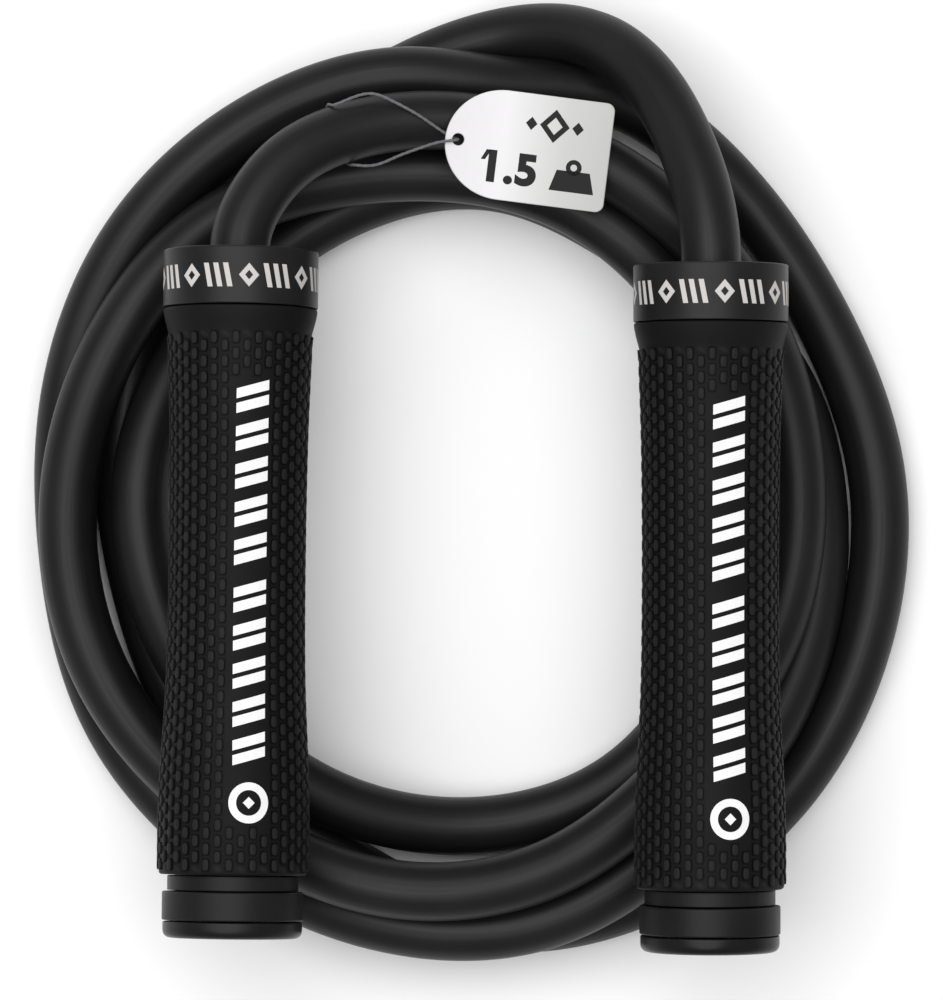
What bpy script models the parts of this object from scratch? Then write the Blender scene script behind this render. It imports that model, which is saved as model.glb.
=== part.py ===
"""Weighted jump rope, coiled, with two swivel handles lying on it and a hang tag looped round the rope.

Frame: +Z up, +Y from the handles' end caps to their collars, +X from the left handle to the right one.
The origin is the centre of the box round the two handles. Sizes are named in millimetres.
"""

import math

import bmesh
import bpy
import numpy as np
from mathutils import Euler, Matrix, Vector

MM = 0.001

# --- Driving dimensions (mm) ----------------------------------------------------------------------
ROPE_DIAMETER = 14.2
ROPE_POINTS = 80
ROPE_SIDES_RESOLUTION = 2
REST_HEIGHT = -44.9  # centre line of a strand that lies on the ground
GAP = 0.3

HANDLE_LENGTH = 162.6
COLLAR_RADIUS = 18.35
COLLAR_LENGTH = 13.6
COLLAR_WALL = 1.35
END_WALL = 2.2
MOUTH_RADIUS = 9.6
EDGE_CHAMFER = 0.35

SLEEVE_BORE = 7.4
SLEEVE_NECK_RADIUS = 9.0
SLEEVE_BODY_RADIUS = 10.9
SLEEVE_LENGTH = 24.0

BALL_RADIUS = 1.9
BALL_COUNT = 8
PITCH_RADIUS = 12.3
GROOVE_RADIUS = BALL_RADIUS + GAP
BEARING_START = 3.4
BEARING_END = 9.4
BALL_DEPTH = 6.0
INNER_RACE = (9.3, 10.9)
OUTER_RACE = (13.7, 15.3)
CAGE = (11.3, 13.3)

CORE_BORE = 11.3
CORE_RADIUS = 13.0
SEAT_BORE = OUTER_RACE[1] + GAP
SEAT_RADIUS = COLLAR_RADIUS - COLLAR_WALL - GAP
GRIP_BORE = CORE_RADIUS + GAP
GRIP_START = COLLAR_LENGTH + GAP
GRIP_END = 147.6
NECK_RADIUS = 15.5
NECK_END = 151.3

CAP_RADIUS = 16.7
CAP_START = NECK_END + GAP
CAP_END = 158.4
SPIGOT_RADIUS = 10.9
SPIGOT_BORE = 8.0
SPIGOT_START = 138.0
SEAL_DEPTH = 145.5
FOOT_RADIUS = 16.5
FOOT_START = CAP_END + GAP
PEG_RADIUS = 4.0

ROPE_END_DEPTH = 22.0
GRUB_DEPTH = 16.5
GRUB_RADIUS = 1.3
STOP_WASHER = (24.3, 26.0)

# Each handle: centre of its collar's face, yaw towards +X and pitch of the collar end, in degrees.
HANDLES = {
    "left": {"face": (-55.6, 82.0, -3.3), "yaw": 0.68, "pitch": -2.6},
    "right": {"face": (55.7, 78.7, -1.0), "yaw": 0.11, "pitch": -0.7},
}

TAG_LENGTH = 39.6
TAG_WIDTH = 26.2
TAG_THICKNESS = 1.0
TAG_NOSE = 14.0
TAG_CORNER = 2.0
TAG_HOLE_RADIUS = 1.45
TAG_HOLE_FROM_NOSE = 3.1
TAG_HOLE_AT = (-4.2, 109.0, -10.7)
TAG_YAW = -7.0
TAG_PITCH = 5.3
STRING_RADIUS = 0.35
STRING_POINTS = 64
KNOT_RADIUS = 0.9
LOOP_CENTRE = (-32.3, 110.3, -13.4)
LOOP_TANGENT = (0.90, 0.36, -0.25)
LOOP_RADIUS = ROPE_DIAMETER / 2 + GAP + STRING_RADIUS

# The rope's route from the left collar round four turns to the right collar: x, y and height.
ROUTE = [
    # out of the left handle and over the top of the coil
    (-51.5, 95.5, -5.5), (-43.5, 104.5, -9), (-29, 111.5, -14.5), (-6, 114, -20), (33, 102, -23.5),
    # first turn: down the right side, along the bottom, up the left side
    (63, 74, -27), (77, 35, -30), (73, -6, -28.5), (50, -41, -27.5), (17, -66, -22.8),
    (-23, -70, -22.6), (-61, -52.5, -28), (-89.8, -20.3, -30.5), (-98.6, 17.5, -30), (-88.5, 59, -27.5),
    (-63.5, 89.5, -31),
    # second turn, the innermost
    (-22, 102, -31), (19.5, 96, -31), (51, 69, -32), (63, 31, -40), (60, -9, -45), (35.5, -45, -45),
    (-3, -56.5, -43), (-45, -44, -34), (-71, -15, -31), (-81, 27, -30.5), (-68, 62, -38),
    # third turn: from the inside out and up on to the outer left
    (-35.5, 92, -44.5), (4.5, 100.5, -45), (42, 83, -45), (73.6, 55, -45), (84, 15, -44.5),
    (75.8, -24, -39), (50, -58, -33.5), (17, -78.5, -31), (-24, -79, -34), (-61.5, -61.5, -40),
    (-88.5, -31.5, -45), (-99.5, 9, -45), (-98.5, 50, -40.5), (-84.5, 85.5, -37.3), (-55, 113.5, -34),
    (-15, 125.5, -30),
    # fourth turn: the outer right, then hidden under the left side
    (8, 123.4, -34), (31, 121.5, -39.5), (61, 101.5, -44.5), (83.6, 69.2, -45), (97.7, 30, -45),
    (94.8, -11, -45), (75, -49, -45), (43.6, -72.6, -45), (4.5, -80, -45), (-34.5, -64, -45),
    (-66, -36, -45), (-82, 2, -45), (-86, 42, -45), (-73, 83, -45), (-43, 111, -45),
    # out over the top and back into the right handle
    (-12, 129.8, -44.5), (10, 136.2, -40), (31, 133, -27.5), (50, 108, -9.5),
]

MATERIALS = {
    "rope_vinyl": ((0.016, 0.016, 0.017), 0.42, 0.0),
    "grip_rubber": ((0.018, 0.018, 0.019), 0.62, 0.0),
    "anodised_black": ((0.022, 0.022, 0.024), 0.38, 0.7),
    "black_nylon": ((0.020, 0.020, 0.021), 0.45, 0.0),
    "bearing_steel": ((0.62, 0.63, 0.65), 0.22, 1.0),
    "zinc_steel": ((0.55, 0.56, 0.58), 0.35, 1.0),
    "brass_cage": ((0.60, 0.43, 0.18), 0.35, 1.0),
    "seal_rubber": ((0.03, 0.03, 0.03), 0.55, 0.0),
    "silver_card": ((0.62, 0.63, 0.65), 0.35, 0.0),
    "grey_cord": ((0.10, 0.10, 0.11), 0.7, 0.0),
}


# --- Helpers --------------------------------------------------------------------------------------
def clear_scene():
    for obj in list(bpy.data.objects):
        bpy.data.objects.remove(obj, do_unlink=True)


def material(name):
    found = bpy.data.materials.get(name)
    if found:
        return found
    colour, roughness, metallic = MATERIALS[name]
    made = bpy.data.materials.new(name)
    made.use_nodes = True
    shader = made.node_tree.nodes["Principled BSDF"]
    shader.inputs["Base Color"].default_value = (*colour, 1.0)
    shader.inputs["Roughness"].default_value = roughness
    shader.inputs["Metallic"].default_value = metallic
    return made


def place(obj, finish, parent=None):
    bpy.context.scene.collection.objects.link(obj)
    obj.data.materials.append(material(finish))
    if parent:
        obj.parent = parent
    return obj


def object_from(bm, name, finish, parent=None):
    bmesh.ops.recalc_face_normals(bm, faces=bm.faces)
    mesh = bpy.data.meshes.new(name)
    bm.to_mesh(mesh)
    bm.free()
    mesh.shade_smooth()
    mesh.set_sharp_from_angle(angle=math.radians(32))
    return place(bpy.data.objects.new(name, mesh), finish, parent)


def turned(name, profile, steps, finish, parent):
    """A solid of revolution about local Z. The profile is a list of (radius, depth), in millimetres,
    where depth runs from the collar's face into the handle. A profile that starts and ends on the
    axis makes a solid body, and any other profile is closed into a ring."""
    bm = bmesh.new()
    points = [bm.verts.new((radius * MM, 0.0, -depth * MM)) for radius, depth in profile]
    edges = [bm.edges.new(pair) for pair in zip(points, points[1:])]
    if profile[0][0] > 0:
        edges.append(bm.edges.new((points[-1], points[0])))
    bmesh.ops.spin(
        bm,
        geom=points + edges,
        cent=(0, 0, 0),
        axis=(0, 0, 1),
        angle=2 * math.pi,
        steps=steps,
        use_duplicate=False,
    )
    bmesh.ops.remove_doubles(bm, verts=bm.verts, dist=1e-6)
    return object_from(bm, name, finish, parent)


def groove(side, start_radius):
    """Points of a ball groove's arc on one race: side is 1 for the outer race and -1 for the inner."""
    half = math.acos((start_radius - PITCH_RADIUS) * side / GROOVE_RADIUS)
    angles = [half * k / 2 for k in (-2, -1, 0, 1, 2)]
    return [
        (PITCH_RADIUS + side * GROOVE_RADIUS * math.cos(a), BALL_DEPTH + GROOVE_RADIUS * math.sin(a))
        for a in angles
    ]


def natural_spline(points):
    """The natural cubic spline through the given points, as close points and their distance along it."""
    points = np.asarray(points, float)
    knots = np.concatenate([[0], np.cumsum(np.linalg.norm(np.diff(points, axis=0), axis=1))])
    step = np.diff(knots)
    system = np.eye(len(points))
    bends = np.zeros_like(points)
    for i in range(1, len(points) - 1):
        system[i, i - 1 : i + 2] = step[i - 1], 2 * (step[i - 1] + step[i]), step[i]
        rise = (points[i + 1] - points[i]) / step[i] - (points[i] - points[i - 1]) / step[i - 1]
        bends[i] = 6 * rise
    moments = np.linalg.solve(system, bends)
    at = np.linspace(0, knots[-1], 4000)
    span = np.clip(np.searchsorted(knots, at, side="right") - 1, 0, len(step) - 1)
    width = step[span][:, None]
    before = (knots[span + 1] - at)[:, None] / width
    after = 1 - before
    curve = before * points[span] + after * points[span + 1]
    bulge = (before**3 - before) * moments[span] + (after**3 - after) * moments[span + 1]
    curve += bulge * width**2 / 6
    return curve, np.concatenate([[0], np.cumsum(np.linalg.norm(np.diff(curve, axis=0), axis=1))])


def at_stations(curve, along, stations):
    """The points of a curve at the given distances along it."""
    return np.stack([np.interp(stations, along, curve[:, k]) for k in range(3)], axis=1)


def tube(name, points_mm, radius_mm, finish):
    """A round tube with closed ends along a polyline."""
    curve = bpy.data.curves.new(name, "CURVE")
    curve.dimensions = "3D"
    curve.bevel_depth = radius_mm * MM
    curve.bevel_resolution = ROPE_SIDES_RESOLUTION
    curve.use_fill_caps = True
    spline = curve.splines.new("POLY")
    spline.points.add(len(points_mm) - 1)
    for point, at in zip(spline.points, points_mm):
        point.co = (*(at * MM), 1.0)
    return place(bpy.data.objects.new(name, curve), finish)


def cylinder_cutter(name, radius, length, matrix, parent):
    bm = bmesh.new()
    bmesh.ops.create_cone(
        bm, cap_ends=True, segments=12, radius1=radius, radius2=radius, depth=length, matrix=matrix
    )
    cutter = object_from(bm, name, "zinc_steel", parent)
    cutter.hide_render = True
    cutter.display_type = "WIRE"
    return cutter


def cut(obj, cutter):
    boolean = obj.modifiers.new("cut_" + cutter.name, "BOOLEAN")
    boolean.operation = "DIFFERENCE"
    boolean.object = cutter


# --- Handle ---------------------------------------------------------------------------------------
def handle_frame(side):
    """An empty on the handle's axis at the collar's face, local Z pointing out of the collar."""
    pose = HANDLES[side]
    empty = bpy.data.objects.new(side + "_handle_axis", None)
    bpy.context.scene.collection.objects.link(empty)
    empty.location = Vector(pose["face"]) * MM
    tilt = math.radians(pose["pitch"] - 90)
    empty.rotation_euler = Euler((tilt, 0.0, -math.radians(pose["yaw"])))
    return empty


def on_axis(side, depth):
    """The point at that depth inside a handle, in millimetres."""
    pose = HANDLES[side]
    yaw, pitch = math.radians(pose["yaw"]), math.radians(pose["pitch"])
    out = np.array([math.sin(yaw) * math.cos(pitch), math.cos(yaw) * math.cos(pitch), math.sin(pitch)])
    return np.array(pose["face"]) - depth * out


def collar(side, axis):
    rim = COLLAR_RADIUS - EDGE_CHAMFER
    inner = COLLAR_RADIUS - COLLAR_WALL
    profile = [
        (MOUTH_RADIUS, 0),
        (rim, 0),
        (COLLAR_RADIUS, EDGE_CHAMFER),
        (COLLAR_RADIUS, COLLAR_LENGTH - EDGE_CHAMFER),
        (rim, COLLAR_LENGTH),
        (inner, COLLAR_LENGTH),
        (inner, END_WALL),
        (MOUTH_RADIUS, END_WALL),
    ]
    turned(side + "_bearing_collar", profile, 36, "anodised_black", axis)


def handle_core(side, axis):
    shoulder = BEARING_END + GAP
    seat_end = COLLAR_LENGTH - GAP
    profile = [
        (SEAT_BORE, END_WALL + GAP),
        (SEAT_RADIUS, END_WALL + GAP),
        (SEAT_RADIUS, seat_end),
        (CORE_RADIUS, seat_end + GAP),
        (CORE_RADIUS, GRIP_END + GAP),
        (NECK_RADIUS, GRIP_END + GAP),
        (NECK_RADIUS, NECK_END),
        (CORE_BORE, NECK_END),
        (CORE_BORE, shoulder),
        (SEAT_BORE, shoulder),
    ]
    turned(side + "_handle_core", profile, 28, "black_nylon", axis)


def grip_sleeve(side, axis):
    """The moulded rubber sleeve: a flare under the collar, a waist, and a swell towards the end."""
    outline = [
        (18.0, GRIP_START),
        (18.25, GRIP_START + 0.5),
        (17.75, 17.0),
        (16.9, 20.3),
        (16.6, 24.0),
        (16.2, 35.0),
        (15.8, 55.0),
        (15.75, 84.0),
        (16.2, 106.0),
        (17.1, 123.0),
        (17.5, 138.0),
        (17.5, GRIP_END - 0.5),
        (17.1, GRIP_END),
    ]
    profile = outline + [(GRIP_BORE, GRIP_END), (GRIP_BORE, GRIP_START)]
    turned(side + "_grip_sleeve", profile, 32, "grip_rubber", axis)


def end_cap(side, axis):
    """The push-in end cap: ring, hollow spigot with a seal groove, and a recess for the foot's peg."""
    rim = CAP_RADIUS - EDGE_CHAMFER
    web = 151.5
    seal_floor = SPIGOT_RADIUS - 1.6
    peg_hole = PEG_RADIUS + GAP
    profile = [
        (0, web),
        (SPIGOT_BORE, web),
        (SPIGOT_BORE, SPIGOT_START),
        (SPIGOT_RADIUS, SPIGOT_START),
        (SPIGOT_RADIUS, SEAL_DEPTH - 1),
        (seal_floor, SEAL_DEPTH - 1),
        (seal_floor, SEAL_DEPTH + 1),
        (SPIGOT_RADIUS, SEAL_DEPTH + 1),
        (SPIGOT_RADIUS, CAP_START),
        (rim, CAP_START),
        (CAP_RADIUS, CAP_START + EDGE_CHAMFER),
        (CAP_RADIUS, CAP_END - EDGE_CHAMFER),
        (rim, CAP_END),
        (peg_hole, CAP_END),
        (peg_hole, web + 3),
        (0, web + 3),
    ]
    turned(side + "_end_cap", profile, 28, "black_nylon", axis)
    ring = [
        (10.35 + 0.65 * math.cos(math.radians(a)), SEAL_DEPTH + 0.65 * math.sin(math.radians(a)))
        for a in range(0, 360, 60)
    ]
    turned(side + "_end_cap_seal", ring, 24, "seal_rubber", axis)


def end_foot(side, axis):
    corner = 2.1
    arc = [
        (
            FOOT_RADIUS - corner + corner * math.cos(math.radians(a)),
            HANDLE_LENGTH - corner + corner * math.sin(math.radians(a)),
        )
        for a in (0, 30, 60, 90)
    ]
    profile = [
        (0, FOOT_START - 3.4),
        (PEG_RADIUS, FOOT_START - 3.4),
        (PEG_RADIUS, FOOT_START),
        (FOOT_RADIUS - GAP, FOOT_START),
        (FOOT_RADIUS, FOOT_START + GAP),
        *arc,
        (0, HANDLE_LENGTH),
    ]
    turned(side + "_end_foot", profile, 28, "black_nylon", axis)


def bearing(side, axis):
    shield = [(9.5, 2.5), (15.2, 2.5), (15.2, 3.1), (9.5, 3.1)]
    turned(side + "_dust_shield", shield, 24, "zinc_steel", axis)
    bore, land = INNER_RACE
    inner = [(land, BEARING_START), *groove(-1, land), (land, BEARING_END)]
    inner += [(bore, BEARING_END), (bore, BEARING_START)]
    turned(side + "_inner_race", inner, 24, "bearing_steel", axis)
    land, rim = OUTER_RACE
    outer = [(land, BEARING_START), *groove(1, land), (land, BEARING_END)]
    outer += [(rim, BEARING_END), (rim, BEARING_START)]
    turned(side + "_outer_race", outer, 24, "bearing_steel", axis)
    ball_cage(side, axis)
    for number in range(BALL_COUNT):
        angle = 2 * math.pi * number / BALL_COUNT
        at = Vector((math.cos(angle) * PITCH_RADIUS, math.sin(angle) * PITCH_RADIUS, -BALL_DEPTH))
        bm = bmesh.new()
        bmesh.ops.create_icosphere(
            bm, subdivisions=2, radius=BALL_RADIUS * MM, matrix=Matrix.Translation(at * MM)
        )
        object_from(bm, f"{side}_bearing_ball_{number + 1}", "bearing_steel", axis)


def ball_cage(side, axis):
    """A crown cage: a flat ring behind the balls with a finger reaching between each two of them."""
    back, seat, tip = 9.2, 8.2, 4.6
    offsets = ((-12, seat), (0, seat), (12, seat), (15, tip), (30, tip))
    bm = bmesh.new()
    loops = []
    for number in range(BALL_COUNT):
        for offset, front in offsets:
            angle = math.radians(360 * number / BALL_COUNT + offset)
            corners = [(CAGE[0], back), (CAGE[1], back), (CAGE[1], front), (CAGE[0], front)]
            loops.append(
                [
                    bm.verts.new((r * math.cos(angle) * MM, r * math.sin(angle) * MM, -depth * MM))
                    for r, depth in corners
                ]
            )
    for here, there in zip(loops, loops[1:] + loops[:1]):
        for k in range(4):
            bm.faces.new((here[k], here[k - 1], there[k - 1], there[k]))
    object_from(bm, side + "_ball_cage", "brass_cage", axis)


def swivel(side, axis):
    """The sleeve that grips the rope's end, its two grub screws, and the washer and screw behind it."""
    flange = BEARING_END + GAP
    profile = [
        (SLEEVE_BORE, 0.6),
        (SLEEVE_NECK_RADIUS, 0.6),
        (SLEEVE_NECK_RADIUS, flange),
        (SLEEVE_BODY_RADIUS, flange),
        (SLEEVE_BODY_RADIUS, SLEEVE_LENGTH),
        (SLEEVE_BORE, SLEEVE_LENGTH),
    ]
    sleeve = turned(side + "_swivel_sleeve", profile, 24, "zinc_steel", axis)
    for number, direction in enumerate((1, -1), start=1):
        middle = Vector((0, direction * 9.1, -GRUB_DEPTH)) * MM
        turn = Matrix.Translation(middle) @ Matrix.Rotation(math.pi / 2, 4, "X")
        hole = cylinder_cutter(
            f"{side}_grub_hole_{number}", (GRUB_RADIUS + GAP) * MM, 6 * MM, turn, axis
        )
        cut(sleeve, hole)
        bm = bmesh.new()
        bmesh.ops.create_cone(
            bm,
            cap_ends=True,
            segments=10,
            radius1=GRUB_RADIUS * MM,
            radius2=GRUB_RADIUS * MM,
            depth=3.2 * MM,
            matrix=turn,
        )
        object_from(bm, f"{side}_grub_screw_{number}", "zinc_steel", axis)
    washer = [(2.3, STOP_WASHER[0]), (10.5, STOP_WASHER[0]), (10.5, STOP_WASHER[1]), (2.3, STOP_WASHER[1])]
    turned(side + "_rope_stop_washer", washer, 20, "zinc_steel", axis)
    head = STOP_WASHER[1] + GAP
    screw = [(0, ROPE_END_DEPTH + GAP), (1.9, ROPE_END_DEPTH + GAP), (1.9, head)]
    screw += [(3.6, head), (3.6, head + 1.6), (2.9, head + 2.1), (0, head + 2.1)]
    turned(side + "_rope_stop_screw", screw, 16, "zinc_steel", axis)


def handle(side):
    axis = handle_frame(side)
    collar(side, axis)
    handle_core(side, axis)
    grip_sleeve(side, axis)
    bearing(side, axis)
    swivel(side, axis)
    end_cap(side, axis)
    end_foot(side, axis)


# --- Rope and tag ---------------------------------------------------------------------------------
def rope():
    depths = (ROPE_END_DEPTH, 9.0, -4.0)
    start = [on_axis("left", depth) for depth in depths]
    finish = [on_axis("right", depth) for depth in reversed(depths)]
    curve, along = natural_spline([*start, *ROUTE, *finish])
    curve[:, 2] = np.maximum(curve[:, 2], REST_HEIGHT)
    # closer points on the straight ends inside the sleeves and on the bends just outside them
    bend = [0, 24, 34, 44, 54, 64, 75]
    rest = np.linspace(88, along[-1] - 46, ROPE_POINTS - len(bend) - 3)
    stations = [*bend, *rest, *(along[-1] - np.array([35, 24, 0]))]
    line = at_stations(curve, along, stations)
    tube("rope", line, ROPE_DIAMETER / 2, "rope_vinyl")


def tag_outline():
    """Points of the tag's edge from its nose, with the hole at the origin: x along it, y across."""
    half = TAG_WIDTH / 2
    points = []
    for k in range(-8, 9):
        angle = math.pi / 2 * k / 8
        points.append((TAG_NOSE * (1 - math.cos(angle)), half * math.sin(angle)))
    for k in range(5):
        angle = math.pi / 2 * (1 - k / 4)
        along = TAG_LENGTH - TAG_CORNER * (1 - math.cos(angle))
        points.append((along, half - TAG_CORNER * (1 - math.sin(angle))))
    for k in range(5):
        angle = math.pi / 2 * k / 4
        along = TAG_LENGTH - TAG_CORNER * (1 - math.cos(angle))
        points.append((along, -half + TAG_CORNER * (1 - math.sin(angle))))
    return [(x - TAG_HOLE_FROM_NOSE, y) for x, y in points]


def hang_tag():
    hinge = bpy.data.objects.new("tag_hinge", None)
    bpy.context.scene.collection.objects.link(hinge)
    hinge.location = Vector(TAG_HOLE_AT) * MM
    hinge.rotation_euler = Euler((0.0, math.radians(TAG_PITCH), math.radians(TAG_YAW)))
    bm = bmesh.new()
    edge = [bm.verts.new((x * MM, y * MM, -TAG_THICKNESS / 2 * MM)) for x, y in tag_outline()]
    face = bm.faces.new(edge)
    raised = bmesh.ops.extrude_face_region(bm, geom=[face])["geom"]
    lifted = [item for item in raised if isinstance(item, bmesh.types.BMVert)]
    bmesh.ops.translate(bm, verts=lifted, vec=(0, 0, TAG_THICKNESS * MM))
    tag = object_from(bm, "hang_tag", "silver_card", hinge)
    cut(tag, cylinder_cutter("tag_hole", TAG_HOLE_RADIUS * MM, 4 * MM, Matrix(), hinge))


def tag_string():
    """One cord: under the rope, along its outer side, up through the tag's hole and back."""
    tangent = np.array(LOOP_TANGENT) / np.linalg.norm(LOOP_TANGENT)
    outward = np.cross((0, 0, 1), tangent)
    outward /= np.linalg.norm(outward)
    upward = np.cross(tangent, outward)

    def round_rope(degrees, radius=LOOP_RADIUS):
        angle = math.radians(degrees)
        return np.array(LOOP_CENTRE) + radius * (math.cos(angle) * outward + math.sin(angle) * upward)

    start = [round_rope(a) for a in (-80, -60, -40, -20, 0, 25)]
    upper = [(-25.5, 119.9, -10.6), (-20.4, 118.4, -10.2), (-13.4, 114.6, -10.4), (-7.8, 110.9, -12.0)]
    hole_x, hole_y, hole_z = TAG_HOLE_AT
    through = [(hole_x - 0.5, hole_y + 0.2, hole_z - 1.3), (hole_x, hole_y, hole_z)]
    through.append((hole_x - 0.5, hole_y - 0.2, hole_z + 1.2))
    lower = [(-7.8, 108.4, -9.1), (-12.7, 107.1, -9.9), (-19.1, 104.8, -11.3), (-25.5, 102.8, -12.2)]
    finish = [round_rope(a) for a in (-180, -160, -140, -120, -100)]
    curve, along = natural_spline([*start, *upper, *through, *lower, *finish])
    line = at_stations(curve, along, np.linspace(0, along[-1], STRING_POINTS))
    tube("tag_string", line, STRING_RADIUS, "grey_cord")
    bm = bmesh.new()
    at = Matrix.Translation(Vector(round_rope(-90)) * MM)
    bmesh.ops.create_icosphere(bm, subdivisions=2, radius=KNOT_RADIUS * MM, matrix=at)
    object_from(bm, "tag_string_knot", "grey_cord")


clear_scene()
for handle_side in HANDLES:
    handle(handle_side)
rope()
hang_tag()
tag_string()
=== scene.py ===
"""Weighted jump rope lying coiled, its two swivel handles on top of it and a weight tag tied to the rope.

Metres, +Z up, +Y from the handles' feet to their collars, +X from the left handle to the right one.
Profiles and print are named in millimetres and scaled by MM.
"""

import math

import bmesh
import bpy
import numpy as np
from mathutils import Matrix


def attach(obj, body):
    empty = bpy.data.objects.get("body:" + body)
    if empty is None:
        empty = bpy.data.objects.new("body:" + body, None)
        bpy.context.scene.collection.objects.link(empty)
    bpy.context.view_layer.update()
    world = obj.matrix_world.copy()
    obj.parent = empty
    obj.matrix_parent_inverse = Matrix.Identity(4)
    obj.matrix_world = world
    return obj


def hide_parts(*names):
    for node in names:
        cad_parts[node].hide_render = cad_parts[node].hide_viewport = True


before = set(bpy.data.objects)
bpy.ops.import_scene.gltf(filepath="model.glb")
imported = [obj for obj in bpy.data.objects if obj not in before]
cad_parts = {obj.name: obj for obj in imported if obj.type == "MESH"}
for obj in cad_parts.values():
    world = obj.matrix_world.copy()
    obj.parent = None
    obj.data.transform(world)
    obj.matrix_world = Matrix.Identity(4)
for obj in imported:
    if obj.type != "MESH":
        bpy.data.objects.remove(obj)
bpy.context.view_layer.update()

MM = 0.001
TAU = 2 * math.pi

# --- Sizes, as in the part -------------------------------------------------------------------------
ROPE_DIAMETER = 0.0142
REST_HEIGHT = -0.0449
HANDLES = {
    "left": {"face": (-0.0556, 0.0820, -0.0033), "yaw": 0.68, "pitch": -2.6},
    "right": {"face": (0.0557, 0.0787, -0.0010), "yaw": 0.11, "pitch": -0.7},
}
ROPE_ROUTE = [
    # out of the left handle and over the top of the coil
    (-0.0515, 0.0955, -0.0055), (-0.0435, 0.1045, -0.0090), (-0.0290, 0.1115, -0.0145),
    (-0.0060, 0.1140, -0.0200), (0.0330, 0.1020, -0.0235),
    # first turn
    (0.0630, 0.0740, -0.0270), (0.0770, 0.0350, -0.0300), (0.0730, -0.0060, -0.0285),
    (0.0500, -0.0410, -0.0275), (0.0170, -0.0660, -0.0228), (-0.0230, -0.0700, -0.0226),
    (-0.0610, -0.0525, -0.0280), (-0.0898, -0.0203, -0.0305), (-0.0986, 0.0175, -0.0300),
    (-0.0885, 0.0590, -0.0275), (-0.0635, 0.0895, -0.0310),
    # second turn, the innermost
    (-0.0220, 0.1020, -0.0310), (0.0195, 0.0960, -0.0310), (0.0510, 0.0690, -0.0320),
    (0.0630, 0.0310, -0.0400), (0.0600, -0.0090, -0.0450), (0.0355, -0.0450, -0.0450),
    (-0.0030, -0.0565, -0.0430), (-0.0450, -0.0440, -0.0340), (-0.0710, -0.0150, -0.0310),
    (-0.0810, 0.0270, -0.0305), (-0.0680, 0.0620, -0.0380),
    # third turn, from the inside out and up on to the outer left
    (-0.0355, 0.0920, -0.0445), (0.0045, 0.1005, -0.0450), (0.0420, 0.0830, -0.0450),
    (0.0736, 0.0550, -0.0450), (0.0840, 0.0150, -0.0445), (0.0758, -0.0240, -0.0390),
    (0.0500, -0.0580, -0.0335), (0.0170, -0.0785, -0.0310), (-0.0240, -0.0790, -0.0340),
    (-0.0615, -0.0615, -0.0400), (-0.0885, -0.0315, -0.0450), (-0.0995, 0.0090, -0.0450),
    (-0.0985, 0.0500, -0.0405), (-0.0845, 0.0855, -0.0373), (-0.0550, 0.1135, -0.0340),
    (-0.0150, 0.1255, -0.0300),
    # fourth turn, the outer right and then under the left side
    (0.0080, 0.1234, -0.0340), (0.0310, 0.1215, -0.0395), (0.0610, 0.1015, -0.0445),
    (0.0836, 0.0692, -0.0450), (0.0977, 0.0300, -0.0450), (0.0948, -0.0110, -0.0450),
    (0.0750, -0.0490, -0.0450), (0.0436, -0.0726, -0.0450), (0.0045, -0.0800, -0.0450),
    (-0.0345, -0.0640, -0.0450), (-0.0660, -0.0360, -0.0450), (-0.0820, 0.0020, -0.0450),
    (-0.0860, 0.0420, -0.0450), (-0.0730, 0.0830, -0.0450), (-0.0430, 0.1110, -0.0450),
    # out over the top and back into the right handle
    (-0.0120, 0.1298, -0.0445), (0.0100, 0.1362, -0.0400), (0.0310, 0.1330, -0.0275),
    (0.0500, 0.1080, -0.0095),
]
TAG_HOLE = np.array([-0.0042, 0.1090, -0.0107])
TAG_YAW, TAG_PITCH = math.radians(-7.0), math.radians(5.3)
STRING_RADIUS = 0.00035


# --- Camera ----------------------------------------------------------------------------------------
def look_down():
    """A camera straight above the coil, its picture's up side towards +Y."""
    lens = bpy.data.cameras.new("overhead_camera")
    lens.sensor_width = 36.0
    lens.lens = 220.2
    camera = bpy.data.objects.new("overhead_camera", lens)
    camera.location = (-0.0010, 0.0230, 1.4480)
    bpy.context.scene.collection.objects.link(camera)
    bpy.context.scene.camera = camera


# --- Curves ----------------------------------------------------------------------------------------
def cubic_through(knots, values, at):
    """The natural cubic spline: a cubic in each span, with its bend continuous and zero at both ends."""
    step = np.diff(knots)
    slope = np.diff(values, axis=0) / step[:, None]
    system = np.eye(len(knots))
    inner = np.arange(1, len(knots) - 1)
    system[inner, inner - 1] = step[:-1]
    system[inner, inner] = 2 * (step[:-1] + step[1:])
    system[inner, inner + 1] = step[1:]
    bends = np.zeros_like(values)
    bends[1:-1] = 6 * np.diff(slope, axis=0)
    moments = np.linalg.solve(system, bends)
    span = np.clip(np.searchsorted(knots, at, side="right") - 1, 0, len(step) - 1)
    width = step[span][:, None]
    before = (knots[span + 1] - at)[:, None] / width
    after = 1 - before
    straight = before * values[span] + after * values[span + 1]
    bulge = (before**3 - before) * moments[span] + (after**3 - after) * moments[span + 1]
    return straight + bulge * width**2 / 6


def distance_along(line):
    """How far along a line each of its points is."""
    return np.concatenate([[0.0], np.cumsum(np.linalg.norm(np.diff(line, axis=0), axis=1))])


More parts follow.
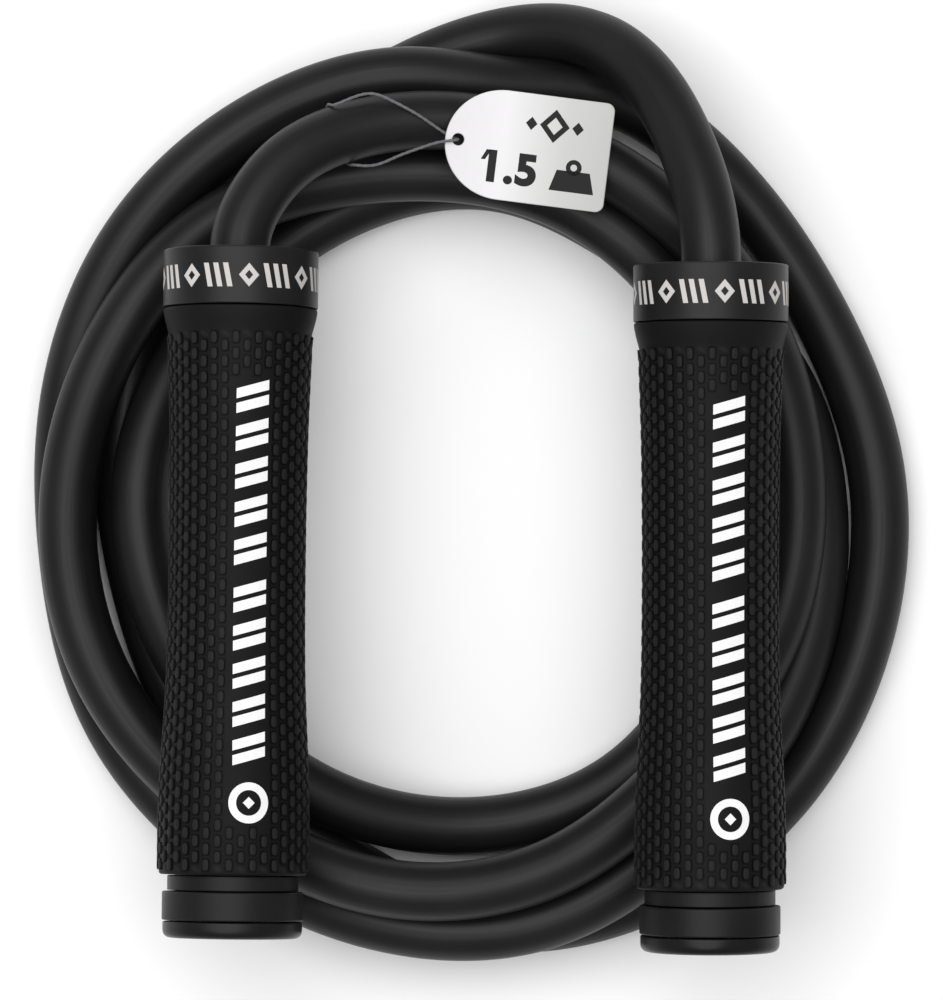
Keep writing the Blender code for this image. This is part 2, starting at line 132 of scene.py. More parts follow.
def smooth_line(points, spacing, lowest=None):
    """A natural spline through points, knotted by the distance between them and read at equal spacing.
    lowest keeps the line from sinking through what it lies on."""
    points = np.asarray(points, float)
    knots = distance_along(points)
    line = cubic_through(knots, points, np.linspace(0, knots[-1], 8000))
    if lowest is not None:
        line[:, 2] = np.maximum(line[:, 2], lowest)
    along = distance_along(line)
    at = np.linspace(0, along[-1], int(along[-1] / spacing) + 1)
    return np.stack([np.interp(at, along, line[:, k]) for k in range(3)], axis=1)


def frames_along(line):
    """Two cross directions at each point of a line. They start level and upright and are turned, from
    point to point, by the smallest turn that keeps them square to the line."""
    tangent = np.gradient(line, axis=0)
    tangent /= np.linalg.norm(tangent, axis=1)[:, None]
    first = np.cross(tangent[0], (0.0, 0.0, 1.0))
    first /= np.linalg.norm(first)
    across = np.empty_like(line)
    for k, direction in enumerate(tangent):
        first = first - direction * (first @ direction)
        first /= np.linalg.norm(first)
        across[k] = first
    return across, np.cross(tangent, across)


# --- Meshes ----------------------------------------------------------------------------------------
def grid_quads(rows, columns, wrap_rows=False, wrap_columns=True):
    """The quads of a grid of points numbered row by row: (i, j), (i+1, j), (i+1, j+1), (i, j+1)."""
    i = np.arange(rows if wrap_rows else rows - 1)[:, None]
    j = np.arange(columns if wrap_columns else columns - 1)[None, :]
    below, beside = (i + 1) % rows, (j + 1) % columns
    corners = [i * columns + j, below * columns + j, below * columns + beside, i * columns + beside]
    return np.stack(corners, axis=-1).reshape(-1, 4)


def piece(
    name,
    points,
    quads,
    finish,
    body,
    tris=None,
    sharp=None,
    merge=None,
    recalc=False,
    uv=None,
    raised=None,
):
    """A mesh object at the origin, made from whole arrays, that moves with a body. raised is a value for
    each point, which its finish can read."""
    points = np.asarray(points, np.float32).reshape(-1, 3)
    quads = np.asarray(quads, np.int32)
    tris = np.zeros((0, 3), np.int32) if tris is None else np.asarray(tris, np.int32)
    corners = np.concatenate([quads.ravel(), tris.ravel()])
    sizes = np.concatenate([np.full(len(quads), 4), np.full(len(tris), 3)]).astype(np.int32)
    mesh = bpy.data.meshes.new(name)
    mesh.vertices.add(len(points))
    mesh.vertices.foreach_set("co", points.ravel())
    mesh.loops.add(len(corners))
    mesh.loops.foreach_set("vertex_index", corners.astype(np.int32))
    mesh.polygons.add(len(sizes))
    mesh.polygons.foreach_set("loop_start", (np.cumsum(sizes) - sizes).astype(np.int32))
    mesh.polygons.foreach_set("loop_total", sizes)
    mesh.update(calc_edges=True)
    if uv is not None:
        layer = mesh.uv_layers.new(name="UVMap")
        layer.data.foreach_set("uv", np.asarray(uv, np.float32).ravel())
    if raised is not None:
        level = mesh.attributes.new("raised", "FLOAT", "POINT")
        level.data.foreach_set("value", np.asarray(raised, np.float32))
    mesh.validate()
    if merge or recalc:
        bm = bmesh.new()
        bm.from_mesh(mesh)
        if merge:
            bmesh.ops.remove_doubles(bm, verts=bm.verts, dist=merge)
        if recalc:
            bmesh.ops.recalc_face_normals(bm, faces=bm.faces)
        bm.to_mesh(mesh)
        bm.free()
    mesh.shade_smooth()
    if sharp:
        mesh.set_sharp_from_angle(angle=math.radians(sharp))
    mesh.materials.append(finish)
    made = bpy.data.objects.new(name, mesh)
    bpy.context.scene.collection.objects.link(made)
    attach(made, body)
    return made


def tube(name, line, radius, sides, finish, body, lobes=0, twist=0.0, swell=0.0):
    """A tube with closed ends. Point (i, j) is line point i plus radius * (1 + swell * cos(lobes * angle -
    twist * distance)) along the cross direction at angle j; the ends are fans round their middles."""
    across, upward = frames_along(line)
    along = distance_along(line)[:, None]
    angle = np.linspace(0, TAU, sides, endpoint=False)[None, :]
    reach = radius * (1 + swell * np.cos(lobes * angle - twist * along))
    ring = np.cos(angle)[..., None] * across[:, None] + np.sin(angle)[..., None] * upward[:, None]
    points = (line[:, None] + reach[..., None] * ring).reshape(-1, 3)
    quads = grid_quads(len(line), sides)
    j = np.arange(sides)
    last = (len(line) - 1) * sides
    start, end = len(points), len(points) + 1
    tris = np.concatenate(
        [
            np.stack([np.full(sides, start), j, (j + 1) % sides], axis=1),
            np.stack([last + j, np.full(sides, end), last + (j + 1) % sides], axis=1),
        ]
    )
    points = np.concatenate([points, line[:1], line[-1:]])
    # across the tube the texture runs once round, along it one unit is a metre
    i, k = (part.ravel() for part in np.indices((len(line) - 1, sides)))
    metre = along.ravel()
    u = np.stack([metre[i], metre[i + 1], metre[i + 1], metre[i]], axis=1)
    v = np.stack([k, k, k + 1, k + 1], axis=1) / sides
    uv = np.concatenate([np.stack([u, v], axis=-1).reshape(-1, 2), np.zeros((len(tris) * 3, 2))])
    # with this order of rows and columns the quads face inward, so each is turned over
    return piece(name, points, quads, finish, body, tris=tris, uv=uv, recalc=True)


def filleted(corners, steps=4):
    """A profile with corner k rounded over the length corners[k][2]: a quadratic curve that starts that
    far before the corner and ends that far after it, with one more point a little way out on each side."""
    corners = np.asarray(corners, float)
    at, reach = corners[:, None, :2], corners[:, None, 2:]
    before = np.roll(at, 1, axis=0) - at
    after = np.roll(at, -1, axis=0) - at
    before /= np.maximum(np.linalg.norm(before, axis=2, keepdims=True), 1e-9)
    after /= np.maximum(np.linalg.norm(after, axis=2, keepdims=True), 1e-9)
    t = np.linspace(0, 1, steps + 1)[None, :, None]
    arc = at + (1 - t) ** 2 * reach * before + t**2 * reach * after
    spread = 1.35
    profile = np.concatenate([at + spread * reach * before, arc, at + spread * reach * after], axis=1)
    profile = profile.reshape(-1, 2)
    apart = np.linalg.norm(profile - np.roll(profile, 1, axis=0), axis=1)
    return profile[apart > 1e-6]


def axes_of(side):
    """A handle's collar face and its directions: out of the collar, across it and up."""
    pose = HANDLES[side]
    yaw, pitch = math.radians(pose["yaw"]), math.radians(pose["pitch"])
    level = math.cos(pitch)
    out = np.array([math.sin(yaw) * level, math.cos(yaw) * level, math.sin(pitch)])
    across = np.array([math.cos(yaw), -math.sin(yaw), 0.0])
    return np.array(pose["face"]), out, across, np.cross(across, out)


def on_handle(side, depth, angle, radius):
    """Points in a handle's own cylinder, in millimetres and radians: behind the collar's face by depth,
    and out from the axis by radius at angle, which is zero at the top and grows towards +X."""
    face, out, across, up = axes_of(side)
    depth, angle, radius = np.broadcast_arrays(depth, angle, radius)
    spoke = np.cos(angle)[..., None] * up + np.sin(angle)[..., None] * across
    return face + MM * (radius[..., None] * spoke - depth[..., None] * out)


def turned(name, side, profile, finish, body, segments=128):
    """A turned piece: point (i, j) is profile point i, a radius and a depth, at angle j round the axis. A
    profile that starts on the axis is closed by a fan at each pole, and any other closes on itself."""
    angle = np.linspace(0, TAU, segments, endpoint=False)[None, :]
    solid = profile[0, 0] < 1e-6
    rings = profile[1:-1] if solid else profile
    points = on_handle(side, rings[:, 1:], angle, rings[:, :1]).reshape(-1, 3)
    quads = grid_quads(len(rings), segments, wrap_rows=not solid)
    tris = None
    if solid:
        j = np.arange(segments)
        last = (len(rings) - 1) * segments
        front, back = len(points), len(points) + 1
        fore = np.stack([np.full(segments, front), j, (j + 1) % segments], axis=1)
        aft = np.stack([last + j, np.full(segments, back), last + (j + 1) % segments], axis=1)
        tris = np.concatenate([fore, aft])
        points = np.concatenate([points, on_handle(side, profile[[0, -1], 1], 0.0, 0.0)])
    return piece(name, points, quads, finish, body, tris=tris, sharp=35)


# --- Finishes --------------------------------------------------------------------------------------
class Finish:
    """Nodes of one Principled material, laid out as it is described."""

    def __init__(self, name, colour, roughness, metallic=0.0, specular=0.5):
        self.material = bpy.data.materials.new(name)
        self.material.use_nodes = True
        self.tree = self.material.node_tree
        self.shader = self.tree.nodes["Principled BSDF"]
        self.shader.inputs["Base Color"].default_value = (*colour, 1.0)
        self.shader.inputs["Roughness"].default_value = roughness
        self.shader.inputs["Metallic"].default_value = metallic
        self.shader.inputs["Specular IOR Level"].default_value = specular
        self.normal = None

    def node(self, kind, **settings):
        made = self.tree.nodes.new(kind)
        for key, value in settings.items():
            if key in made.inputs:
                made.inputs[key].default_value = value
            else:
                setattr(made, key, value)
        return made

    def link(self, source, socket):
        self.tree.links.new(source, socket)

    def grain(self, scale, detail=4.0, stretch=(1.0, 1.0, 1.0), on="Object", roughness=0.6):
        """A noise of so many features a metre, stretched by its own three scales."""
        where = self.node("ShaderNodeTexCoord")
        mapping = self.node("ShaderNodeMapping", Scale=stretch)
        noise = self.node("ShaderNodeTexNoise", Scale=scale, Detail=detail, Roughness=roughness)
        self.link(where.outputs[on], mapping.inputs["Vector"])
        self.link(mapping.outputs["Vector"], noise.inputs["Vector"])
        return noise.outputs["Fac"]

    def spread(self, source, low, high, socket, start=0.3, end=0.7):
        """The noise's range start..end mapped to low..high on one of the shader's inputs."""
        ranged = self.node("ShaderNodeMapRange")
        ranged.inputs["From Min"].default_value = start
        ranged.inputs["From Max"].default_value = end
        ranged.inputs["To Min"].default_value = low
        ranged.inputs["To Max"].default_value = high
        self.link(source, ranged.inputs["Value"])
        self.link(ranged.outputs["Result"], self.shader.inputs[socket])

    def tint(self, source, stops):
        """Colours along the noise's range."""
        ramp = self.node("ShaderNodeValToRGB")
        elements = ramp.color_ramp.elements
        for at, colour in stops[2:]:
            elements.new(at).color = (*colour, 1.0)
        for element, (at, colour) in zip(list(elements), sorted(stops)):
            element.position = at
            element.color = (*colour, 1.0)
        self.link(source, ramp.inputs["Fac"])
        self.link(ramp.outputs["Color"], self.shader.inputs["Base Color"])

    def bump(self, source, height, strength=1.0):
        """Relief of so many metres from a noise, on top of any that is there already."""
        relief = self.node("ShaderNodeBump", Strength=strength, Distance=height)
        self.link(source, relief.inputs["Height"])
        if self.normal:
            self.link(self.normal, relief.inputs["Normal"])
        self.normal = relief.outputs["Normal"]
        self.link(self.normal, self.shader.inputs["Normal"])


def rope_vinyl():
    """Extruded black vinyl: fine draw lines along the rope, a satin skin and faint handling bloom."""
    f = Finish("rope_vinyl", (0.007, 0.007, 0.0075), 0.42, specular=0.22)
    bloom = f.grain(38, detail=6)
    f.tint(bloom, [(0.35, (0.0055, 0.0055, 0.0058)), (0.72, (0.0095, 0.0092, 0.0090))])
    lines = f.grain(1.0, detail=3, stretch=(14.0, 46.0, 1.0), on="UV")
    f.spread(lines, 0.36, 0.50, "Roughness")
    f.bump(lines, 0.00005, 0.5)
    f.bump(f.grain(2600, detail=3), 0.00002, 0.35)
    return f.material


def grip_rubber():
    """Moulded rubber: matt, with a fine eroded grain. Its colour is painted near black at the foot of each
    stud as painted shade, and paler on the top as painted highlight and wear.
    """
    f = Finish("grip_rubber", (0.006, 0.006, 0.0065), 0.58, specular=0.10)
    # painted shade: near black where each stud meets the rubber; the paler stud tops are painted highlight
    # and wear
    level = f.node("ShaderNodeAttribute", attribute_name="raised")
    f.tint(
        level.outputs["Fac"],
        [(0.0, (0.0004, 0.0004, 0.0004)), (0.5, (0.0055, 0.0055, 0.0058)), (1.0, (0.013, 0.013, 0.0133))],
    )
    wear = f.grain(55, detail=5)
    f.spread(wear, 0.52, 0.66, "Roughness")
    f.bump(f.grain(3400, detail=4, roughness=0.7), 0.00003, 0.45)
    return f.material


def anodised_black():
    """Black anodised aluminium, fine bead-blasted, with a faint turning mark round it."""
    f = Finish("anodised_black", (0.010, 0.010, 0.011), 0.42, metallic=0.2, specular=0.2)
    blast = f.grain(5200, detail=3)
    f.spread(blast, 0.34, 0.47, "Roughness")
    f.tint(f.grain(60, detail=4), [(0.3, (0.009, 0.009, 0.0095)), (0.7, (0.013, 0.013, 0.0135))])
    f.bump(blast, 0.000012, 0.4)
    f.bump(f.grain(1.0, detail=2, stretch=(8.0, 2800.0, 8.0)), 0.000006, 0.3)
    return f.material


def nylon(name, base, roughness):
    """Moulded black nylon with a spark-eroded grain."""
    f = Finish(name, (base, base, base * 1.05), roughness, specular=0.16)
    flow = f.grain(48, detail=5)
    f.tint(flow, [(0.3, (base * 0.8,) * 3), (0.7, (base * 1.35, base * 1.35, base * 1.42))])
    f.spread(flow, roughness - 0.05, roughness + 0.06, "Roughness")
    f.bump(f.grain(2900, detail=3), 0.000018, 0.4)
    return f.material


def metal(name, colour, roughness, lines):
    """Bare metal with fine tool marks and a little dulling."""
    f = Finish(name, colour, roughness, metallic=1.0)
    dull = f.grain(420, detail=4)
    f.tint(dull, [(0.3, tuple(c * 0.86 for c in colour)), (0.7, tuple(min(c * 1.08, 1) for c in colour))])
    f.spread(dull, roughness - 0.07, roughness + 0.08, "Roughness")
    f.bump(f.grain(1.0, detail=2, stretch=(lines, lines * 6, lines)), 0.00001, 0.35)
    return f.material


def paint(name, colour, roughness, scale, depth):
    """Printed or etched marks: a thin even coat with a fine speckle."""
    f = Finish(name, colour, roughness, specular=0.15)
    speckle = f.grain(scale, detail=4, roughness=0.7)
    f.tint(speckle, [(0.3, tuple(c * 0.86 for c in colour)), (0.66, colour)])
    f.spread(speckle, roughness - 0.06, roughness + 0.08, "Roughness")
    f.bump(speckle, depth, 0.4)
    return f.material


def silver_card():
    """Silver card with a fine metallic fleck. Its colour is painted paler at its nose and greyer at its
    square end: painted light and shade across it.
    """
    f = Finish("silver_card", (0.58, 0.57, 0.58), 0.42, metallic=0.1, specular=0.25)
    where = f.node("ShaderNodeTexCoord")
    split = f.node("ShaderNodeSeparateXYZ")
    f.link(where.outputs["UV"], split.inputs["Vector"])
    # painted light and shade: paler towards the nose, darker towards the square end
    painted_light_greys = [
        (0.0, (0.60, 0.59, 0.60)),
        (0.36, (0.66, 0.65, 0.66)),
        (0.72, (0.48, 0.48, 0.47)),
        (1.0, (0.43, 0.43, 0.42)),
    ]
    f.tint(split.outputs["X"], painted_light_greys)
    fleck = f.grain(4200, detail=2)
    f.spread(fleck, 0.33, 0.46, "Roughness")
    f.bump(fleck, 0.000008, 0.3)
    return f.material


def seal_rubber():
    f = Finish("seal_rubber", (0.02, 0.02, 0.021), 0.55, specular=0.4)
    skin = f.grain(900, detail=4)
    f.spread(skin, 0.48, 0.62, "Roughness")
    f.bump(skin, 0.00001, 0.4)
    return f.material


def grey_cord():
    """Twisted cotton thread, dark grey with paler fibres."""
    f = Finish("grey_cord", (0.085, 0.085, 0.09), 0.8, specular=0.2)
    fibre = f.grain(1.0, detail=4, stretch=(2600.0, 9.0, 1.0), on="UV")
    f.tint(fibre, [(0.3, (0.07, 0.07, 0.075)), (0.7, (0.19, 0.19, 0.20))])
    f.spread(fibre, 0.72, 0.9, "Roughness")
    f.bump(fibre, 0.00008, 0.6)
    return f.material


FINISHES = {
    "rope_vinyl": rope_vinyl(),
    "grip_rubber": grip_rubber(),
    "anodised_black": anodised_black(),
    "black_nylon": nylon("black_nylon", 0.0065, 0.44),
    "foot_nylon": nylon("foot_nylon", 0.0065, 0.33),
    "bearing_steel": metal("bearing_steel", (0.62, 0.63, 0.65), 0.20, 900),
    "zinc_steel": metal("zinc_steel", (0.52, 0.54, 0.57), 0.34, 500),
    "brass_cage": metal("brass_cage", (0.60, 0.43, 0.18), 0.34, 600),
    "seal_rubber": seal_rubber(),
    "silver_card": silver_card(),
    "grey_cord": grey_cord(),
    "etched_grey": paint("etched_grey", (0.56, 0.54, 0.53), 0.6, 3600, 0.00001),
    "white_ink": paint("white_ink", (0.86, 0.86, 0.86), 0.5, 2400, 0.000012),
    "dark_ink": paint("dark_ink", (0.012, 0.012, 0.012), 0.5, 2600, 0.000008),
}


# --- Cords -----------------------------------------------------------------------------------------
def inside_handle(side, depth):
    """A point on a handle's axis, so many millimetres behind the collar's face."""
    return on_handle(side, float(depth), 0.0, 0.0)


def make_rope():
    """One length of thick vinyl rope: out of the left handle, four turns, and into the right handle."""
    depths = (22, 9, -4)
    start = [inside_handle("left", depth) for depth in depths]
    end = [inside_handle("right", depth) for depth in reversed(depths)]
    line = smooth_line([*start, *ROPE_ROUTE, *end], 0.0016, REST_HEIGHT)
    rope = tube("coiled_rope", line, ROPE_DIAMETER / 2, 28, FINISHES["rope_vinyl"], "rope_assembly")
    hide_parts("rope")
    inside_handle("left", 0)


def round_the_rope(degrees):
    """A point on the string's loop round the rope's top strand, at an angle from its outer side."""
    centre = np.array([-0.0323, 0.1103, -0.0134])
    tangent = np.array([0.90, 0.36, -0.25])
    tangent /= np.linalg.norm(tangent)
    outward = np.cross((0, 0, 1), tangent)
    outward /= np.linalg.norm(outward)
    upward = np.cross(tangent, outward)
    radius = 0.00775
    angle = math.radians(degrees)
    return centre + radius * (math.cos(angle) * outward + math.sin(angle) * upward)


def make_tag_string():
    """A thin thread: round the rope, under the tag, up through its hole and back over it, with a knot."""
    start = [round_the_rope(a) for a in (-80, -60, -40, -20, 0, 25)]
    upper = [
        (-0.0255, 0.1199, -0.0106),
        (-0.0204, 0.1184, -0.0102),
        (-0.0134, 0.1146, -0.0104),
        (-0.0078, 0.1109, -0.0120),
    ]
    shifts = ((-0.0005, 0.0002, -0.0013), (0, 0, 0), (-0.0005, -0.0002, 0.0012))
    through = [TAG_HOLE + shift for shift in shifts]
    lower = [
        (-0.0078, 0.1084, -0.0091),
        (-0.0127, 0.1071, -0.0099),
        (-0.0191, 0.1048, -0.0113),
        (-0.0255, 0.1028, -0.0122),
    ]
    end = [round_the_rope(a) for a in (-180, -160, -140, -120, -100)]
    line = smooth_line([*start, *upper, *through, *lower, *end], 0.00022)
    thread = tube(
        "tag_thread",
        line,
        STRING_RADIUS,
        10,
        FINISHES["grey_cord"],
        "rope_assembly",
        lobes=2,
        twist=TAU / 0.0018,
        swell=0.10,
    )
    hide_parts("tag_string")

    # the knot: a trefoil, (sin t + 2 sin 2t, cos t - 2 cos 2t, -sin 3t), drawn tight under the rope
    t = np.linspace(0, TAU, 72, endpoint=False)
    trefoil = np.stack([np.sin(t) + 2 * np.sin(2 * t), np.cos(t) - 2 * np.cos(2 * t), -np.sin(3 * t)], axis=1)
    middle = round_the_rope(-90) + np.array([0, 0, -0.0002])
    knot_line = middle + 0.00024 * trefoil
    knot = closed_tube("tag_thread_knot", knot_line, 0.00030, 8, FINISHES["grey_cord"], "rope_assembly")
    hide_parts("tag_string_knot")


def closed_tube(name, line, radius, sides, finish, body):
    """A tube along a closed line: at each point a ring square to the line's direction there."""
    tangent = np.roll(line, -1, axis=0) - np.roll(line, 1, axis=0)
    tangent /= np.linalg.norm(tangent, axis=1)[:, None]
    inward = line.mean(axis=0) - line
    across = np.cross(tangent, inward)
    across /= np.linalg.norm(across, axis=1)[:, None]
    upward = np.cross(tangent, across)
    angle = np.linspace(0, TAU, sides, endpoint=False)[None, :]
    ring = np.cos(angle)[..., None] * across[:, None] + np.sin(angle)[..., None] * upward[:, None]
    points = (line[:, None] + radius * ring).reshape(-1, 3)
    return piece(name, points, grid_quads(len(line), sides, wrap_rows=True), finish, body, recalc=True)


# --- Marks -----------------------------------------------------------------------------------------
def bar(corners, rows=5, columns=5):
    """A four-cornered mark: the bilinear patch between its corners, as a grid of points."""
    a, b, c, d = np.asarray(corners, float)
    u = np.linspace(0, 1, columns)[None, :, None]
    v = np.linspace(0, 1, rows)[:, None, None]
    return (1 - v) * ((1 - u) * a + u * b) + v * ((1 - u) * d + u * c)


def slash(x, y, width, height, lean):
    """An upright bar whose top is shifted along by lean."""
    half = height / 2
    return bar([(x, y - half), (x + width, y - half), (x + width + lean, y + half), (x + lean, y + half)])


def lozenge_ring(x, y, half_width, half_height, inner):
    """An open lozenge: four bars between its corners and the same corners drawn in by inner."""
    corner = np.array([(half_width, 0), (0, half_height), (-half_width, 0), (0, -half_height)])
    after = np.roll(corner, -1, axis=0)
    sides = zip(corner, after, after * inner, corner * inner)
    return [bar(np.array(side) + (x, y)) for side in sides]


def hoop(x, y, inner, outer):
    """A round ring mark: two circles of points about its centre."""
    angle = np.linspace(0, TAU, 40, endpoint=False)
    circle = np.stack([np.cos(angle), np.sin(angle)], axis=1)
    return np.array([x, y]) + np.array([inner, outer])[:, None, None] * circle[None]


def marks(name, shapes, place, finish, body):
    """Thin closed plates: each shape's grid of points placed just above and just below a surface, with a
    rim between them. A hoop's grid closes on itself, and its rims are its two circles."""
    points, quads, count = [], [], 0
    for shape in shapes:
        rows, columns = shape.shape[:2]
        ring = rows == 2
        top = grid_quads(rows, columns, wrap_columns=ring)
        index = np.arange(rows * columns).reshape(rows, columns)
        if ring:
            rim = np.concatenate([index[0], index[1]])
            beside = np.concatenate([np.roll(index[0], -1), np.roll(index[1], -1)])
        else:
            rim = np.concatenate([index[0, :-1], index[:-1, -1], index[-1, :0:-1], index[:0:-1, 0]])
            beside = np.roll(rim, -1)
        under = index.size
        side = np.stack([rim, beside, beside + under, rim + under], axis=1)
        quads += [part + count for part in (top, top[:, ::-1] + under, side)]
        points += [place(shape, 1).reshape(-1, 3), place(shape, -1).reshape(-1, 3)]
        count += 2 * under
    return piece(name, np.concatenate(points), np.concatenate(quads), finish, body, recalc=True, sharp=40)


# --- Handles ---------------------------------------------------------------------------------------
COLLAR_RADIUS, COLLAR_LENGTH = 18.35, 13.6
MOUTH_RADIUS = 9.6
SEAT_BORE, SEAT_RADIUS, SEAT_START, SEAT_END = 15.6, 16.7, 2.5, 13.3
CORE_BORE, CORE_RADIUS, CORE_SHOULDER = 11.3, 13.0, 9.7
NECK_RADIUS, NECK_START, NECK_END = 15.5, 147.9, 151.3
SPIGOT_BORE, SPIGOT_RADIUS, SPIGOT_START = 8.0, 10.9, 138.0
SEAL_FLOOR, SEAL_START, SEAL_END = 9.3, 144.5, 146.5
CAP_RADIUS, CAP_WEB, CAP_START, CAP_END = 16.7, 151.5, 151.6, 158.4
PEG_HOLE, PEG_HOLE_END, PEG_RADIUS, PEG_END = 4.3, 154.5, 4.0, 155.3
FOOT_RADIUS, FOOT_START, FOOT_END = 16.5, 158.7, 162.6
SLEEVE_BORE, SLEEVE_NECK, SLEEVE_RADIUS = 7.4, 9.0, 10.9
SLEEVE_START, SLEEVE_SHOULDER, SLEEVE_END = 0.6, 9.7, 24.0
GRIP_OUTLINE = np.array(
    [
        (14.4, 18.25),
        (17.0, 17.75),
        (20.3, 16.90),
        (24.0, 16.60),
        (35.0, 16.20),
        (55.0, 15.80),
        (84.0, 15.75),
        (106.0, 16.20),
        (123.0, 17.10),
        (137.0, 17.50),
        (147.1, 17.50),
    ]
)
GRIP_COLUMNS, GRIP_ROWS = 40, 34
GRAIN_START, GRAIN_END = 19.7, 147.1
GRIP_START, GRIP_END, GRIP_BORE = 13.9, 147.6, 13.3
STUD_HEIGHT = 0.55
PRINT_ANGLE = math.radians(13.7)
PRINT_START, PRINT_END = 30.2, 136.8


def grip_radius(depth):
    """The rubber's radius between its studs, from a natural spline through the outline."""
    depth = np.asarray(depth, float)
    radius = cubic_through(GRIP_OUTLINE[:, 0], GRIP_OUTLINE[:, 1:], depth.ravel())
    return radius.reshape(depth.shape)


def make_collar(side):
    """The turned collar with its mouth, small chamfers and a band of etched marks round it."""
    profile = filleted(
        [
            (MOUTH_RADIUS, 0, 0.3),
            (COLLAR_RADIUS, 0, 0.45),
            (COLLAR_RADIUS, COLLAR_LENGTH, 0.3),
            (17.0, COLLAR_LENGTH, 0.1),
            (17.0, 2.2, 0.1),
            (MOUTH_RADIUS, 2.2, 0.3),
        ]
    )
    body = side + "_handle"
    collar = turned(side + "_collar", side, profile, FINISHES["anodised_black"], body, 160)
    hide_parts(side + "_bearing_collar")

    high, middle, stroke = 5.6, 7.0, 1.25
    half = high / 2
    shapes = []
    for start in np.arange(8) * TAU * COLLAR_RADIUS / 8:
        shapes += lozenge_ring(start + 2.6, middle, 2.4, half, 0.4)
        shapes += [slash(start + along, middle, stroke, high, 1.1) for along in (6.0, 8.4, 10.8)]

    def place(shape, face):
        angle = shape[..., 0] / COLLAR_RADIUS
        return on_handle(side, shape[..., 1], angle, COLLAR_RADIUS + 0.02 * face)

    marks(side + "_collar_marks", shapes, place, FINISHES["etched_grey"], body)


